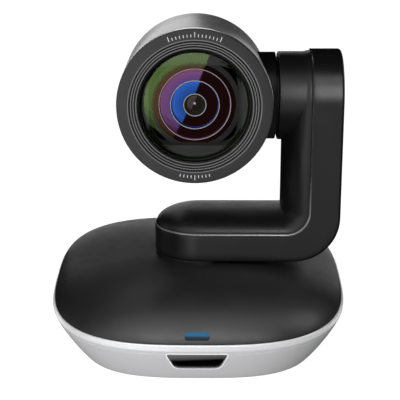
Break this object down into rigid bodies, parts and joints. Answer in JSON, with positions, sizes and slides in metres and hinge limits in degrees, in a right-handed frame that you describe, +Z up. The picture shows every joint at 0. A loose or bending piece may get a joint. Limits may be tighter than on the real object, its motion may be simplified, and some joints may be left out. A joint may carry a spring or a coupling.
{
  "type": "ptz camera",
  "caption": "Motorised pan, tilt and zoom camera: rounded square weighted base, L-shaped swinging arm and a round tilting head with a large ringed lens.",
  "frame": {"origin": "on the table under the pan axis, at the centre of the base outline", "axes": "+Z up along the pan axis; the lens looks along -Y; the arm column stands on the +X side"},
  "size_m": [0.131, 0.13, 0.1461],
  "materials": {
    "silver_satin": "satin silver paint on plastic",
    "silver_brushed": "brushed, soft sheen",
    "charcoal_matte": "fine satin, charcoal",
    "black_satin": "satin black",
    "bezel_black": "matte charcoal ring",
    "rubber_black": "matte",
    "window_black": "gloss, infrared-clear",
    "led_blue": "translucent blue",
    "steel": "plain machined",
    "cast_plate": "plain",
    "brass": "turned",
    "nylon_white": "natural nylon",
    "board_green": "solder mask",
    "ribbon": "ribbon cable",
    "optics": "coated glass",
    "sensor": "gloss chip"
  },
  "bodies": {
    "base": {"base_lower_shell": "silver_satin", "base_top_cover": "charcoal_matte", "rubber_foot": "rubber_black", "tripod_bush": "brass", "ballast_plate": "cast_plate", "main_board": "board_green", "board_screws": "steel", "rear_port_panel": "black_satin", "mini_din_socket": "black_satin", "dc_jack": "black_satin", "lock_plate": "steel", "front_board": "board_green", "ir_receiver": "window_black", "ir_window": "window_black", "led_light_pipe": "led_blue", "pan_frame": "steel", "frame_screws": "steel", "base_screws": "steel", "pan_motor": "steel", "pan_outer_race": "steel", "pan_bearing_balls": "steel"},
    "pan_pinion_body": {"pan_pinion": "brass"},
    "arm": {"turntable": "black_satin", "pan_inner_race": "steel", "pan_gear": "nylon_white", "spindle_nut": "brass", "arm_outer_band": "black_satin", "arm_inner_cover": "charcoal_matte", "arm_frame": "steel", "turntable_screws": "steel", "tilt_motor": "steel", "tilt_bushes": "brass", "arm_ribbon_cable": "ribbon"},
    "tilt_pinion_body": {"tilt_pinion": "brass"},
    "head": {"head_sleeve": "silver_brushed", "head_rear_cover": "black_satin", "lens_bezel": "bezel_black", "front_glass": "optics", "lens_baffle": "black_satin", "front_lens": "optics", "lens_barrel": "black_satin", "guide_rods": "steel", "sensor_board": "board_green", "image_sensor": "sensor", "camera_board": "board_green", "tilt_hub": "black_satin", "tilt_axle": "steel", "tilt_gear": "nylon_white", "axle_ring": "steel", "lens_motors": "steel", "rear_cover_screws": "steel"},
    "zoom_group": {"zoom_cell": "black_satin", "zoom_lens": "optics"},
    "focus_group": {"focus_cell": "black_satin", "focus_lens": "optics"},
    "zoom_screw_body": {"zoom_screw": "steel"},
    "focus_screw_body": {"focus_screw": "steel"}
  },
  "joints": [
    {"name": "pan", "type": "hinge", "parent": "base", "child": "arm", "pos_m": [0, 0, 0.042], "axis": [0, 0, 1], "range_deg": [-130, 130]},
    {"name": "pan_pinion_spin", "type": "hinge", "parent": "base", "child": "pan_pinion_body", "pos_m": [-0.024, 0, 0.022], "axis": [0, 0, 1], "range_deg": [-395, 395]},
    {"name": "tilt", "type": "hinge", "parent": "arm", "child": "head", "pos_m": [0.0343, 0, 0.1129], "axis": [-1, 0, 0], "range_deg": [-40, 90]},
    {"name": "tilt_pinion_spin", "type": "hinge", "parent": "arm", "child": "tilt_pinion_body", "pos_m": [0.042, 0, 0.0929], "axis": [-1, 0, 0], "range_deg": [-275, 125]},
    {"name": "zoom_slide", "type": "slide", "parent": "head", "child": "zoom_group", "axis": [0, 1, 0], "range_m": [-0.004, 0.005]},
    {"name": "focus_slide", "type": "slide", "parent": "head", "child": "focus_group", "axis": [0, 1, 0], "range_m": [-0.002, 0.003]},
    {"name": "zoom_screw_spin", "type": "hinge", "parent": "head", "child": "zoom_screw_body", "pos_m": [-0.0013, 0, 0.0999], "axis": [0, 1, 0], "range_deg": [-365, 455]},
    {"name": "focus_screw_spin", "type": "hinge", "parent": "head", "child": "focus_screw_body", "pos_m": [-0.0013, 0.005, 0.1259], "axis": [0, 1, 0], "range_deg": [-185, 275]}
  ],
  "couplings": [
    {"joint": "pan_pinion_spin", "follows": "pan", "ratio": -3},
    {"joint": "tilt_pinion_spin", "follows": "tilt", "ratio": -3},
    {"joint": "zoom_screw_spin", "follows": "zoom_slide", "rad_per_m": 1570.8},
    {"joint": "focus_screw_spin", "follows": "focus_slide", "rad_per_m": 1570.8}
  ]
}
